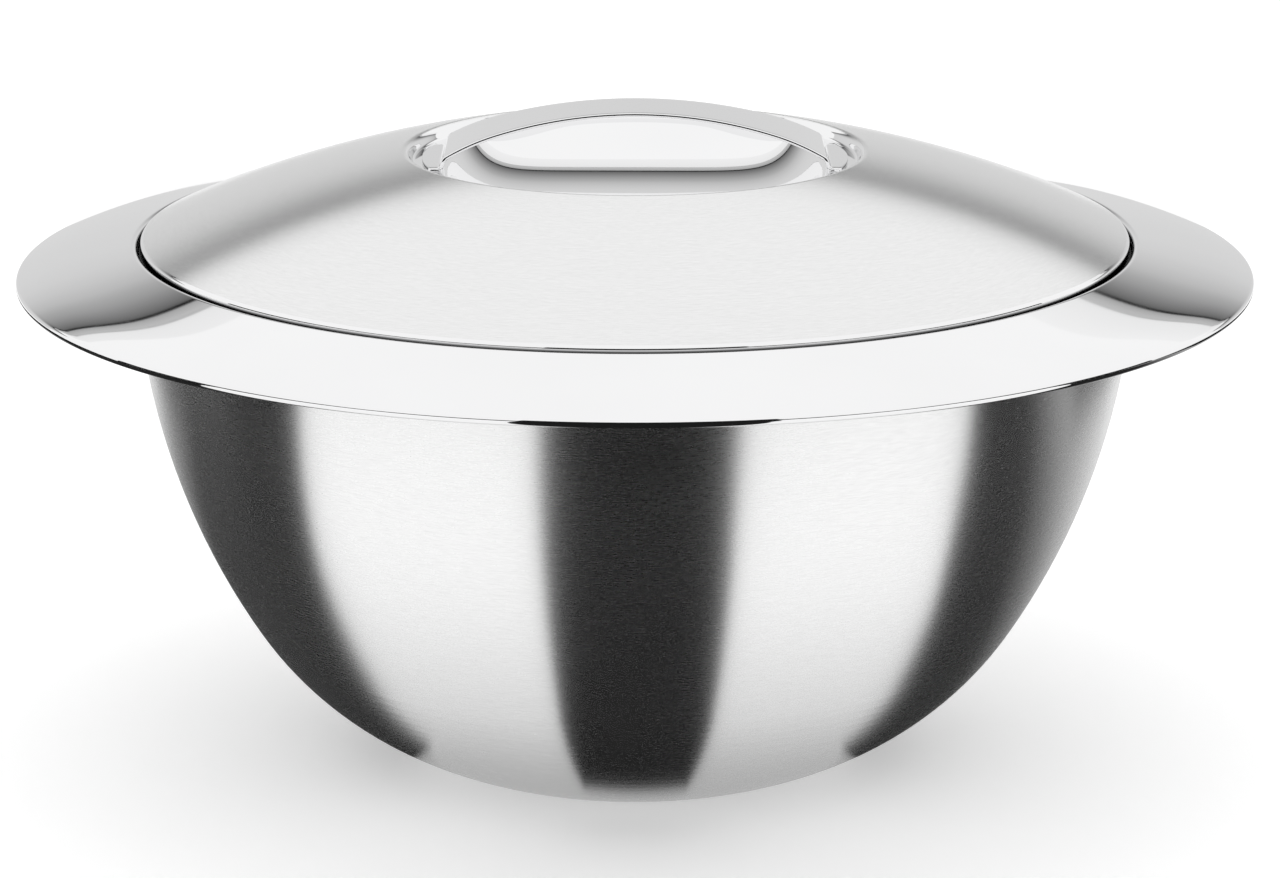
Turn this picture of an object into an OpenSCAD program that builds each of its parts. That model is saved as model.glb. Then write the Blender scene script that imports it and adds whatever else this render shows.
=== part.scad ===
// Insulated serving bowl: two steel bowls one inside the other, a wide drooping brim,
// and a double-skinned lid that nests inside the brim, with a strap handle over a finger well.
// Millimetres, Z up, origin on the table under the middle of the bowl.

/* [Bowl] */
// Diameter of the outer bowl where its wall starts below the brim
bowl_d = 259.2; // [240:0.8:280]
// Lean of the wall from upright at its top, in degrees
wall_lean = 2.4; // [1:0.2:5]
// Radius of the upper wall, seen from the side
upper_r = 184; // [170:2:200]
// Lean at which the upper wall turns into the rounder lower wall, in degrees
turn_lean = 32; // [28:1:36]
// Radius of the lower wall, seen from the side
lower_r = 90; // [84:1:96]
// Diameter of the ring that the bowl stands on
base_d = 100; // [90:2:110]
// Height that the middle of the base is pushed up inside that ring
base_push = 2.4; // [2:0.1:4]
// Width of the standing ring
stand_w = 7; // [5:0.5:9]
// Thickness of the outer bowl's sheet
outer_t = 0.8; // [0.6:0.1:1]
// Thickness of the inner bowl's sheet, brim included
inner_t = 0.8; // [0.6:0.1:1]
// Space for insulation between the two walls
wall_space = 6.5; // [5:0.5:8]
// Space for insulation between the two floors
floor_space = 7; // [6:0.5:9]

/* [Brim] */
// Diameter over the rolled edge
brim_d = 320; // [310:2:340]
// Rise of the brim from the rolled edge's middle to its inner crest
brim_rise = 8.5; // [6:0.5:11]
// Fall of the brim next to its inner crest, in degrees
crest_fall = 12.8; // [11:0.2:15]
// Fall of the brim where it meets the rolled edge, in degrees
edge_fall = 19.6; // [18:0.2:22]
// Height of the rolled edge's middle over the top of the outer wall's curve
edge_over_wall = 2; // [1:0.5:4]
// Space inside the rolled edge
roll_bore_r = 0.4; // [0.3:0.1:0.8]
// Depth of the ledge that carries the lid, below the inner crest
ledge_drop = 3; // [2.8:0.1:4]
// Length of the outer bowl's flange under the brim
flange_w = 6; // [4:0.5:8]

/* [Lid] */
// Gap round the lid's edge inside the brim
lid_gap = 0.8; // [0.5:0.1:1.2]
// Height of the lid's folded edge
edge_h = 3.6; // [3.2:0.1:4.5]
// Radius of the lid's dome
dome_r = 316; // [290:2:340]
// Thickness of the lid's top sheet
cover_t = 0.6; // [0.5:0.05:0.7]
// Thickness of the lid's bottom sheet
liner_t = 0.6; // [0.5:0.05:0.7]
// Width of the fold under the lid's edge
hem_w = 6; // [5:0.5:7]
// Gap between the lid's skirt and the mouth of the inner bowl
skirt_gap = 1.2; // [0.8:0.1:2]
// Depth of the lid's skirt below the fold
skirt_h = 4.5; // [4:0.5:7]
// Rise of the lid's bottom sheet from its skirt to its middle
liner_rise = 9; // [7:0.5:10]

/* [Lid recess] */
// Diameter of the round recess over its crest
recess_d = 118; // [114:1:124]
// Depth of the round recess
recess_depth = 3.4; // [3:0.1:4]
// Steepness of the round recess's wall, in degrees
recess_wall = 70; // [60:2:76]
// Length of the oval finger well
well_l = 90; // [86:1:94]
// Width of the oval finger well
well_w = 42; // [38:1:46]
// Radius of the oval's ends
well_end_r = 13; // [12.5:0.5:14]
// Depth of the finger well below the recess's floor
well_depth = 11; // [9:0.5:11.5]
// Steepness of the finger well's wall, in degrees
well_wall = 60; // [56:2:66]
// Radius of the finger well's rolled mouth
well_roll = 3; // [2:0.5:3.5]
// Radius round the finger well's floor
well_fillet = 5; // [4:0.5:5.5]

/* [Handle] */
// Width of the strap at its middle
strap_w = 21.8; // [18:0.4:26]
// Thickness of the strap
strap_t = 1; // [0.8:0.1:1.4]
// Radius of the strap's waisted sides, seen from above
waist_r = 233; // [200:5:280]
// Radius of the arch over its middle
arch_r = 130; // [120:2:145]
// Half length of that middle stretch
arch_half = 36; // [32:1:38]
// Radius of the arch's shoulders
shoulder_r = 60; // [50:2:70]
// Half distance between the strap's folds
fold_half = 48.5; // [46:0.5:50]
// Outer radius of each fold
fold_r = 2.2; // [1.8:0.1:3]
// Steepness of the legs below the folds, in degrees
leg_angle = 80; // [76:1:84]
// Straight length of each leg
leg_h = 0.5; // [0.3:0.1:3]
// Radius where a leg turns out into its foot
foot_bend_r = 1; // [0.8:0.1:1.5]
// Gap between a foot and the recess's wall
foot_gap = 1.6; // [0.8:0.1:2.5]

/* [Hidden] */

// Round surfaces and sections
$fn = 96;
arc_steps = 12;
bend_steps = 5;
dome_steps = 14;

// Clearances and small bends
seat_gap = 0.3;
seam_gap = 0.05;
fill_gap = 0.3;
bend_in = 0.3;
neck_gap = 0.15;
flange_bend = 1.5;
ledge_roll = 1.8;
ledge_fillet = 1;
crest_roll = 1.4;
recess_roll = 2;
recess_fillet = 1;
skirt_roll = 3;
push_roll = 1;
overrun = 2;

// Base disc and the fill hole that it closes
disc_t = 1;
disc_gap = 0.3;
fill_hole_d = 20;
push_slope = 45;

// How far the brim's edge is rolled under, in degrees
roll_turn = 235;
// Shares of the brim's width that its curve's two handles take
crest_handle_share = 0.6;
edge_handle_share = 0.26;
// Two points nearer than this are one point
same = 0.001;
// The well's sections are kept to this grain, so that its four arcs match where they meet
grain = 0.001;

// Heights and radii that follow from the sizes above
bowl_r = bowl_d / 2;
base_r = base_d / 2;
push_r = base_r - stand_w - base_push / tan(push_slope);
brim_r = brim_d / 2;
turn_r = bowl_r - upper_r * (cos(wall_lean) - cos(turn_lean));
lower_c = turn_r - lower_r * cos(turn_lean);
base_lean = acos((base_r - lower_c) / lower_r);
lower_z = lower_r * sin(base_lean);
turn_z = lower_z - lower_r * sin(turn_lean);
upper_c = bowl_r - upper_r * cos(wall_lean);
upper_z = turn_z + upper_r * sin(turn_lean);
wall_z = upper_z - upper_r * sin(wall_lean);
edge_z = wall_z + edge_over_wall;
crest_z = edge_z + brim_rise;
ledge_z = crest_z - ledge_drop;
inner_inset = outer_t + wall_space + inner_t;
floor_z = base_push + outer_t + floor_space + inner_t;
mouth_r = bowl_r - inner_inset;
roll_r = roll_bore_r + inner_t;
step_r = bowl_r - inner_t;
lid_edge_r = step_r - lid_gap;
hem_z = ledge_z + seat_gap;
lid_top_z = hem_z + edge_h;
dome_z = lid_top_z - sqrt(dome_r * dome_r - lid_edge_r * lid_edge_r);
recess_r = recess_d / 2;
recess_crest_z = dome_z + sqrt(dome_r * dome_r - recess_r * recess_r);
recess_z = recess_crest_z - recess_depth;
recess_foot_r = recess_r - recess_depth / tan(recess_wall);
foot_r = recess_foot_r - recess_fillet - foot_gap;
skirt_r = mouth_r - skirt_gap;
liner_z = hem_z + cover_t - skirt_h;

// Points on an arc about c from angle a0 to a1
function arc(c, r, a0, a1, n) = [
    for (k = [0:n])
        let (a = a0 + (a1 - a0) * k / n)
        c + r * [cos(a), sin(a)]
];
function unit(v) = v / norm(v);
function left(v) = [-v[1], v[0]];
function half_turn(a) = a > 180 ? a - 360 : a < -180 ? a + 360 : a;
function cleaned(p) = [
    for (i = [0:len(p) - 1])
        if (i == 0 || norm(p[i] - p[max(i, 1) - 1]) > same) p[i]
];
function backwards(p) = [for (i = [len(p) - 1:-1:0]) p[i]];

// One rounded corner at p, between its neighbours a and b
function corner(a, p, b, r) =
    let (u = unit(a - p), v = unit(b - p), half = acos(u * v) / 2)
    let (c = p + unit(u + v) * r / sin(half))
    let (s = p + u * r / tan(half) - c, e = p + v * r / tan(half) - c)
    let (a0 = atan2(s[1], s[0]), a1 = atan2(e[1], e[0]))
    arc(c, r, a0, a0 + half_turn(a1 - a0), bend_steps);

// A path through corners [x, y, fillet]; a corner without a fillet stays sharp
function rounded(q) = [
    for (i = [0:len(q) - 1])
        let (p = [q[i][0], q[i][1]])
        let (sharp = i == 0 || i == len(q) - 1 || len(q[i]) < 3)
        each sharp ? [p] : corner([q[i - 1][0], q[i - 1][1]], p, [q[i + 1][0], q[i + 1][1]], q[i][2])
];

// The same path moved sideways by d, to its left
function beside(p, d) = [
    for (i = [0:len(p) - 1])
        let (a = left(unit(p[max(i, 1)] - p[max(i, 1) - 1])))
        let (b = left(unit(p[min(i + 1, len(p) - 1)] - p[min(i, len(p) - 2)])))
        p[i] + d * (a + b) / (1 + a * b)
];

// A path of bends [radius, turn] and straights [length], from p at heading a
function walk(steps, p, a, i = 0) =
    i == len(steps) ? [] :
    let (s = steps[i], turn = len(s) > 1 ? s[1] : 0, side = turn > 0 ? 1 : -1)
    let (c = p + side * s[0] * [-sin(a), cos(a)])
    let (piece = len(s) < 2
        ? [p + s[0] * [cos(a), sin(a)]]
        : arc(c, s[0], a - side * 90, a - side * 90 + turn, arc_steps))
    concat(piece, walk(steps, piece[len(piece) - 1], a + turn, i + 1));

// Where the lines p + u and q + v meet
function meet(p, u, q, v) = p + u * ((q - p) * left(v)) / (u * left(v));

// The bowl's wall, set in from the outside, from the height z up to its top
function wall(inset, z) = concat(
    arc([lower_c, lower_z], lower_r - inset, asin((z - lower_z) / (lower_r - inset)), -turn_lean, arc_steps),
    arc([upper_c, upper_z], upper_r - inset, -turn_lean, -wall_lean, arc_steps));

// The brim's top side as one smooth curve from the inner crest to the rolled edge
crest_end = [step_r + crest_roll, crest_z - crest_roll] + crest_roll * [sin(crest_fall), cos(crest_fall)];
roll_c = [brim_r - roll_r, edge_z];
roll_start = roll_c + roll_r * [sin(edge_fall), cos(edge_fall)];
brim_w = roll_start[0] - crest_end[0];
brim_a = crest_end + crest_handle_share * brim_w * [cos(crest_fall), -sin(crest_fall)];
brim_b = roll_start - edge_handle_share * brim_w * [cos(edge_fall), -sin(edge_fall)];
brim_curve = [
    for (k = [0:dome_steps])
        let (t = k / dome_steps, s = 1 - t)
        s * s * s * crest_end + 3 * s * s * t * brim_a + 3 * s * t * t * brim_b + t * t * t * roll_start
];

// The outer bowl's neck passes the ledge, and its flange lies under the brim
under_brim = inner_t + seam_gap + outer_t;
flange_dir = [cos(crest_fall), -sin(crest_fall)];
flange_p = crest_end - under_brim * [sin(crest_fall), cos(crest_fall)];
wall_top = [bowl_r, wall_z];
neck_out = [step_r + inner_t + neck_gap + outer_t, ledge_z - inner_t];
flange_corner = meet(wall_top, neck_out - wall_top, flange_p, flange_dir);

function outer_path() = rounded(concat(
    [[0, base_push],
     [push_r, base_push, push_roll],
     [base_r - stand_w, 0]],
    wall(0, 0),
    [[flange_corner[0], flange_corner[1], flange_bend], flange_corner + flange_w * flange_dir]));

function inner_path() = concat(
    rounded(concat(
        [[0, floor_z]],
        wall(inner_inset, floor_z),
        [[mouth_r + (ledge_z - wall_z) * tan(wall_lean), ledge_z, ledge_roll],
         [step_r, ledge_z, ledge_fillet],
         [step_r, crest_z - crest_roll]])),
    arc([step_r + crest_roll, crest_z - crest_roll], crest_roll, 180, 90 - crest_fall, bend_steps),
    [for (i = [1:dome_steps - 1]) brim_curve[i]],
    arc(roll_c, roll_r, 90 - edge_fall, 90 - edge_fall - roll_turn, arc_steps));

function dome_point(a) = [dome_r * sin(a), dome_z + dome_r * cos(a)];
crest_a = asin(recess_r / dome_r);
edge_a = asin(lid_edge_r / dome_r);

function cover_path() = rounded(concat(
    [[0, recess_z],
     [recess_foot_r, recess_z, recess_fillet],
     [recess_r, recess_crest_z, recess_roll]],
    [for (k = [1:dome_steps - 1]) dome_point(crest_a + (edge_a - crest_a) * k / dome_steps)],
    [[lid_edge_r, lid_top_z, bend_in + cover_t],
     [lid_edge_r, hem_z, bend_in + cover_t],
     [lid_edge_r - hem_w, hem_z]]));

// The lid's bottom sheet: a flat flange in the fold, a skirt in the bowl's mouth and a shallow dome
liner_c = (skirt_r * skirt_r - liner_rise * liner_rise) / (2 * liner_rise);
liner_r = liner_c + liner_rise;
liner_a = asin(skirt_r / liner_r);
function liner_path() = rounded(concat(
    [for (k = [0:dome_steps - 1])
        let (a = liner_a * k / dome_steps)
        [liner_r * sin(a), liner_z - liner_c + liner_r * cos(a)]],
    [[skirt_r, liner_z, skirt_roll],
     [skirt_r, hem_z + cover_t, bend_in],
     [lid_edge_r - cover_t - bend_in - seat_gap, hem_z + cover_t]]));

// A pressed sheet turned about the Z axis: the path is its visible side
module pressed(path, t) {
    side = cleaned(path);
    rotate_extrude() polygon(concat(side, backwards(beside(side, t))));
}

// Finger well: an oval of four arcs, two long sides and two round ends
well_end_x = well_l / 2 - well_end_r;
well_half_w = well_w / 2;
well_side_r = (well_end_x * well_end_x + well_half_w * well_half_w - well_end_r * well_end_r)
    / (2 * (well_half_w - well_end_r));
well_side_y = well_side_r - well_half_w;
well_drop = well_depth - (well_roll + well_fillet) * (1 - cos(well_wall));
well_run = (well_roll + well_fillet) * sin(well_wall) + well_drop / tan(well_wall);

// The well's section, from its mouth down to its floor, as [distance in from the mouth, height]
function well_section() = concat(
    arc([0, -well_roll], well_roll, 90, 90 - well_wall, bend_steps),
    arc([well_run, well_fillet - well_depth], well_fillet, 270 - well_wall, 270, bend_steps));

function on_grain(p) = [for (v = p) round(v / grain) * grain];

// One round side of the well, grown by a sheet's thickness
module well_turn(r, grow) {
    section = [for (p = beside(cleaned(well_section()), -grow)) [r, 0] + on_grain([-p[0], p[1]])];
    floor_centre = [0, -well_depth - grow];
    rotate_extrude() polygon(concat([[0, overrun], [r, overrun]], section, [floor_centre]));
}

// The stretch of the well between the lines on which its long sides meet its round ends
module well_middle() {
    far = [well_end_x, 0] + 2 * [well_end_x, well_side_y];
    translate([0, 0, -well_l]) linear_extrude(2 * well_l)
        polygon([[well_end_x, 0], far, [-far[0], far[1]], [-well_end_x, 0], -far, [far[0], -far[1]]]);
}

// Each round end is a whole turn: past those lines it fills the oval, and before them it lies inside
module well_form(grow) {
    intersection() {
        translate([0, -well_side_y, 0]) well_turn(well_side_r, grow);
        translate([0, well_side_y, 0]) well_turn(well_side_r, grow);
        well_middle();
    }
    for (side = [-1, 1])
        translate([side * well_end_x, 0, 0]) well_turn(well_end_r, grow);
}

module outer_bowl() {
    color("silver") difference() {
        pressed(outer_path(), outer_t);
        cylinder(h = base_push + outer_t + overrun, d = fill_hole_d);
    }
}

module inner_bowl() {
    color("gainsboro") pressed(inner_path(), -inner_t);
}

module bowl_insulation() {
    low_z = base_push + outer_t + fill_gap;
    high_z = floor_z - inner_t - fill_gap;
    outside = cleaned(wall(outer_t + fill_gap, low_z));
    inside = cleaned(wall(outer_t + wall_space - fill_gap, high_z));
    color("wheat") rotate_extrude()
        polygon(concat([[0, low_z]], outside, backwards(inside), [[0, high_z]]));
}

module base_disc() {
    color("silver") translate([0, 0, base_push - disc_t])
        cylinder(h = disc_t, r = push_r - push_roll - disc_gap);
}

module lid_cover() {
    color("lightgray") difference() {
        union() {
            pressed(cover_path(), -cover_t);
            translate([0, 0, recess_z]) intersection() {
                well_form(cover_t);
                translate([0, 0, -well_l - cover_t / 2]) cylinder(h = well_l, r = well_l);
            }
        }
        translate([0, 0, recess_z]) well_form(0);
    }
}

module lid_insulation() {
    inner_edge = well_l / 2 + cover_t + fill_gap;
    outer_edge = skirt_r - skirt_roll - liner_t - fill_gap;
    under = cover_t + fill_gap;
    step_edge = recess_r + recess_roll;
    function on_dome(r) = [r, dome_z + sqrt((dome_r - under) * (dome_r - under) - r * r)];
    function on_liner(r) = [r, liner_z - liner_c + liner_t + fill_gap + sqrt(liner_r * liner_r - r * r)];
    top = [for (k = [0:dome_steps]) on_dome(step_edge + (outer_edge - step_edge) * k / dome_steps)];
    bottom = [for (k = [0:dome_steps]) on_liner(inner_edge + (outer_edge - inner_edge) * k / dome_steps)];
    shelf = [[inner_edge, recess_z - under], [step_edge, recess_z - under]];
    color("wheat") rotate_extrude() polygon(concat(shelf, top, backwards(bottom)));
}

module lid_liner() {
    color("silver") pressed(liner_path(), liner_t);
}

// The strap's side view: an arch, two folds, two short legs and two flat feet
arch_turn = asin(arch_half / arch_r);
fold_turn = asin(sin(arch_turn) + (fold_half - arch_half) / shoulder_r);
function half_strap() = walk(
    [[arch_r, -arch_turn], [shoulder_r, arch_turn - fold_turn], [fold_r, fold_turn - leg_angle], [leg_h],
     [foot_bend_r, leg_angle], [foot_r]], [0, 0], 0);

module lid_handle() {
    half = cleaned(half_strap());
    foot_top = half[len(half) - 1][1];
    top = cleaned(concat([for (p = backwards(half)) [-p[0], p[1]]], half));
    color("gainsboro") intersection() {
        translate([0, foot_r, recess_z + strap_t - foot_top]) rotate([90, 0, 0])
            linear_extrude(2 * foot_r) polygon(concat(top, backwards(beside(top, -strap_t))));
        translate([0, 0, recess_z - overrun]) linear_extrude(foot_r) difference() {
            circle(r = foot_r);
            for (side = [-1, 1])
                translate([0, side * (strap_w / 2 + waist_r)]) circle(r = waist_r);
        }
    }
}

outer_bowl();
bowl_insulation();
inner_bowl();
base_disc();
lid_cover();
lid_insulation();
lid_liner();
lid_handle();
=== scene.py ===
"""Looks of an insulated stainless serving bowl with its lid, built round the packed CAD part."""

import math
from functools import partial
from types import SimpleNamespace

import bmesh
import bpy
import numpy as np
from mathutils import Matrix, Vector


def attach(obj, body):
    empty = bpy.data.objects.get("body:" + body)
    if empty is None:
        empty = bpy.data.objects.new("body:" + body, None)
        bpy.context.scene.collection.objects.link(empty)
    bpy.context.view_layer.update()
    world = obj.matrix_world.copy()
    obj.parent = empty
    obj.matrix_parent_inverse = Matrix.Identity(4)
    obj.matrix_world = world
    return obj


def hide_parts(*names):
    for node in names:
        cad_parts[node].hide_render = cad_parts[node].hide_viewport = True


bl_info = {
    "name": "Insulated serving bowl",
    "version": (1, 0, 0),
    "blender": (4, 5, 0),
    "location": "View3D > Sidebar > Bowl",
    "description": "Builds the pressed steel sheets, the strap and their finishes round a packed bowl",
    "category": "Object",
}

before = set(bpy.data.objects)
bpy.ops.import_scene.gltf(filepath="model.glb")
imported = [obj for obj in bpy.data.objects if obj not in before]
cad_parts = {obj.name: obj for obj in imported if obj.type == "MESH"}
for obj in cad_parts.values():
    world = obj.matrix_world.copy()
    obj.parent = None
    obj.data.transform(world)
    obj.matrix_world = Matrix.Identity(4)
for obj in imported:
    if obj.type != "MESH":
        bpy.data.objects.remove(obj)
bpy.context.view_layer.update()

# Guard points stand this far beside a bend, and points this near are one
NEAR, SAME = 0.0003, 0.000001
# Bends below the first angle stay as they are, and edges above the second are shaded sharp
BEND, SHARP = math.radians(1.5), math.radians(35)
ALL_POLISHED = 0.9
# The dished floor's rings end this far inside its wall, and the polish ends this far over its crest
RINGS_END, POLISH_END = 0.003, 0.0006
FLOOR_RINGS, SHELF_ROWS, FOAM_ROWS = 64, 16, 25
STRAP_COLUMNS, STRAP_TIP_ROWS = 15, 24


# Sizes and colours that a user would change


def length(name, description, metres):
    return bpy.props.FloatProperty(
        name=name, description=description, default=metres, precision=5, subtype="DISTANCE", unit="LENGTH")


def angle(name, description, degrees):
    return bpy.props.FloatProperty(
        name=name, description=description, default=math.radians(degrees), subtype="ANGLE", unit="ROTATION")


def share(name, description, value):
    return bpy.props.FloatProperty(
        name=name, description=description, default=value, min=0, max=1, subtype="FACTOR")


def colour(name, description, rgb):
    return bpy.props.FloatVectorProperty(
        name=name, description=description, default=rgb, size=3, min=0, max=1, subtype="COLOR")


def spot(name, description, place):
    return bpy.props.FloatVectorProperty(
        name=name, description=description, default=place, size=3, subtype="TRANSLATION", unit="LENGTH")


class BowlSizes(bpy.types.PropertyGroup):
    """Sizes of the two bowls below the brim"""

    width: length("Width", "Diameter of the outer bowl at the top of its wall", 0.2592)
    wall_lean: angle("Wall lean", "Lean of the wall from upright at its top", 2.4)
    upper_radius: length("Upper radius", "Radius of the upper wall, seen from the side", 0.184)
    turn_lean: angle("Turn lean", "Lean where the rounder lower wall starts", 32)
    lower_radius: length("Lower radius", "Radius of the lower wall, seen from the side", 0.09)
    base_width: length("Base width", "Diameter of the standing ring", 0.1)
    base_push: length("Base push", "Height of the base inside the ring", 0.0024)
    push_round: length("Push round", "Radius where the pushed-up base turns flat", 0.001)
    ring_width: length("Ring width", "Width of the standing ring", 0.007)
    fill_hole: length("Fill hole", "Diameter of the hole under the base disc", 0.02)
    sheet: length("Sheet", "Thickness of both bowls' sheets", 0.0008)
    wall_space: length("Wall space", "Space between the two walls", 0.0065)
    floor_space: length("Floor space", "Space between the two floors", 0.007)
    turns: bpy.props.IntProperty(
        name="Turns", description="Faces round each pressed sheet", default=288, min=3)


class BrimSizes(bpy.types.PropertyGroup):
    """Sizes of the brim, its rolled edge and the ledge for the lid"""

    width: length("Width", "Diameter over the rolled edge", 0.32)
    rise: length("Rise", "Rise from the rolled edge's middle to the inner crest", 0.0085)
    crest_fall: angle("Crest fall", "Fall of the brim next to its inner crest", 12.8)
    edge_fall: angle("Edge fall", "Fall of the brim where it meets the rolled edge", 19.6)
    crest_share: share("Crest share", "Crest handle of the brim's curve, in brim widths", 0.6)
    edge_share: share("Edge share", "Edge handle of the brim's curve, in brim widths", 0.26)
    over_wall: length("Over wall", "Height of the rolled edge's middle over the wall's top", 0.002)
    roll_bore: length("Roll bore", "Radius of the space inside the rolled edge", 0.0004)
    roll_turn: angle("Roll turn", "How far the edge is rolled under", 235)
    crest_roll: length("Crest roll", "Radius of the inner crest", 0.0014)
    ledge_drop: length("Ledge drop", "Depth of the ledge below the inner crest", 0.003)
    ledge_roll: length("Ledge roll", "Radius from the mouth out to the ledge", 0.0018)
    ledge_fillet: length("Ledge fillet", "Radius at the ledge's outer corner", 0.001)
    flange: length("Flange", "Length of the outer bowl's flange under the brim", 0.006)
    flange_bend: length("Flange bend", "Radius of the bend into the flange", 0.0015)
    seam_gap: length("Seam gap", "Gap between the flange and the brim", 0.00005)
    neck_gap: length("Neck gap", "Gap between the outer bowl's neck and the ledge", 0.00015)


class LidSizes(bpy.types.PropertyGroup):
    """Sizes of the lid's two sheets"""

    gap: length("Gap", "Gap round the lid's edge inside the brim", 0.0008)
    seat_gap: length("Seat gap", "Gap between the lid and the ledge under it", 0.0003)
    edge_height: length("Edge height", "Height of the folded edge", 0.0036)
    dome_radius: length("Dome radius", "Radius of the dome", 0.316)
    sheet: length("Sheet", "Thickness of both sheets", 0.0006)
    fold: length("Fold", "Width of the fold under the edge", 0.006)
    bend: length("Bend", "Inner radius of the folded edge", 0.0003)
    skirt_gap: length("Skirt gap", "Gap between the skirt and the bowl's mouth", 0.0012)
    skirt_height: length("Skirt height", "Depth of the skirt below the fold", 0.0045)
    skirt_roll: length("Skirt roll", "Radius under the skirt", 0.003)
    liner_rise: length("Liner rise", "Rise of the bottom sheet to its middle", 0.009)
    foam_gap: length("Foam gap", "Gap between the insulation and the sheets", 0.0003)
    foam_bore: length("Foam bore", "Diameter of the hole in the insulation ring", 0.0918)


class RecessSizes(bpy.types.PropertyGroup):
    """Sizes of the round recess and the scooped finger dish in the lid"""

    width: length("Width", "Diameter of the round recess over its crest", 0.118)
    depth: length("Depth", "Depth of the round recess", 0.0034)
    wall: angle("Wall", "Steepness of the round recess's wall", 70)
    crest_roll: length("Crest roll", "Radius of the recess's crest", 0.002)
    fillet: length("Fillet", "Radius round the recess's floor", 0.001)
    dish_length: length("Dish length", "Length of the finger dish, along the strap", 0.098)
    dish_width: length("Dish width", "Width of the finger dish, across the strap", 0.112)
    dish_depth: length("Dish depth", "Depth of the finger dish below the recess's floor", 0.0086)
    dish_round: length("Dish round", "Height over which the dish's mouth is rounded", 0.0012)
    dish_fullness: bpy.props.FloatProperty(
        name="Dish fullness", description="How far the dish keeps its depth towards its ends",
        default=6, min=2)


class StrapSizes(bpy.types.PropertyGroup):
    """Sizes of the strap handle"""

    width: length("Width", "Width at its middle", 0.0218)
    sheet: length("Sheet", "Thickness of the strap", 0.001)
    waist: length("Waist", "Radius of the waisted sides, seen from above", 0.233)
    arch: length("Arch", "Radius of the arch over its middle", 0.13)
    arch_half: length("Arch half", "Half length of the middle stretch", 0.036)
    shoulder: length("Shoulder", "Radius of the arch's shoulders", 0.06)
    fold_half: length("Fold half", "Half distance between the folds", 0.0485)
    fold: length("Fold", "Outer radius of each fold", 0.0022)
    leg_angle: angle("Leg angle", "Steepness of the legs", 80)
    leg: length("Leg", "Straight length of each leg", 0.0005)
    foot_bend: length("Foot bend", "Radius where a leg turns out into its foot", 0.001)
    foot_gap: length("Foot gap", "Gap between a foot and the recess's wall", 0.0016)
    edge_round: length("Edge round", "Radius of the polished edges", 0.00028)


class SteelFinishes(bpy.types.PropertyGroup):
    """Colours and roughness of the steel and the insulation"""

    wall_colour: colour("Wall", "Colour of the brushed wall", (0.98, 0.98, 0.98))
    wall_roughness: share("Wall roughness", "Roughness of the brushed wall", 0.27)
    lid_colour: colour("Lid", "Colour of the brushed lid", (0.86, 0.86, 0.86))
    lid_roughness: share("Lid roughness", "Roughness of the brushed lid", 0.18)
    bright_colour: colour("Bright", "Colour of the polished brim, recess and strap", (0.905, 0.905, 0.91))
    inside_colour: colour("Inside", "Colour of the sheets that face the food", (0.8, 0.8, 0.805))
    base_colour: colour("Base", "Colour of the base disc", (0.7, 0.7, 0.71))
    foam_colour: colour("Foam", "Colour of the insulation", (0.86, 0.8, 0.62))


class StudioSettings(bpy.types.PropertyGroup):
    """Camera, light and the cards that the steel mirrors"""

    camera_place: spot("Camera", "Where the camera stands", (0.0, -0.9748, 0.354))
    camera_target: spot("Target", "What the camera points at", (0.0013, 0.0, 0.0829))
    lens: bpy.props.FloatProperty(name="Lens", description="Focal length in millimetres", default=107.5)
    floor_colour: colour("Floor", "Colour of the floor", (0.88, 0.88, 0.88))
    lamp_power: bpy.props.FloatProperty(
        name="Lamp", description="Power of the soft lamp overhead", default=4.0,
        subtype="POWER", unit="POWER")
    back_distance: length("Back card", "Distance of the grey card behind the bowl", 2.0)


# Curves in a plane: arcs, rounded corners and offsets


def points(values):
    return np.array(values, float)


def unit(vector):
    return vector / np.linalg.norm(vector)


def arc(centre, radius, start, end, steps):
    turn = np.linspace(start, end, steps + 1)
    return points(centre) + radius * np.column_stack([np.cos(turn), np.sin(turn)])


def corner(before, at, after, radius, steps):
    u, v = unit(before - at), unit(after - at)
    half = math.acos(max(-1, min(1, float(u @ v)))) / 2
    centre = at + unit(u + v) * radius / math.sin(half)
    first = at + u * radius / math.tan(half) - centre
    last = at + v * radius / math.tan(half) - centre
    start = math.atan2(first[1], first[0])
    turn = (math.atan2(last[1], last[0]) - start + math.pi) % (2 * math.pi) - math.pi
    return arc(centre, radius, start, start + turn, steps)


def level(x, z):
    """Points at some distances from the axis, all at one height."""
    return np.column_stack([x, np.full(len(x), z)])


def rounded(corners, steps=8):
    """A path through corners (x, z) or (x, z, fillet); a corner without a fillet stays sharp."""
    path = []
    for i, c in enumerate(corners):
        here = points(c[:2])
        if len(c) < 3 or i in (0, len(corners) - 1):
            path.append(here[None])
        else:
            path.append(corner(points(corners[i - 1][:2]), here, points(corners[i + 1][:2]), c[2], steps))
    return cleaned(np.vstack(path))


def cleaned(path):
    keep = np.ones(len(path), bool)
    keep[1:] = np.linalg.norm(np.diff(path, axis=0), axis=1) > SAME
    return path[keep]


def beside(path, distance):
    """The same path moved sideways, to its left."""
    along = np.diff(path, axis=0)
    along /= np.linalg.norm(along, axis=1)[:, None]
    left = np.column_stack([-along[:, 1], along[:, 0]])
    before, after = np.vstack([left[:1], left]), np.vstack([left, left[-1:]])
    return path + distance * (before + after) / (1 + (before * after).sum(1))[:, None]


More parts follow.
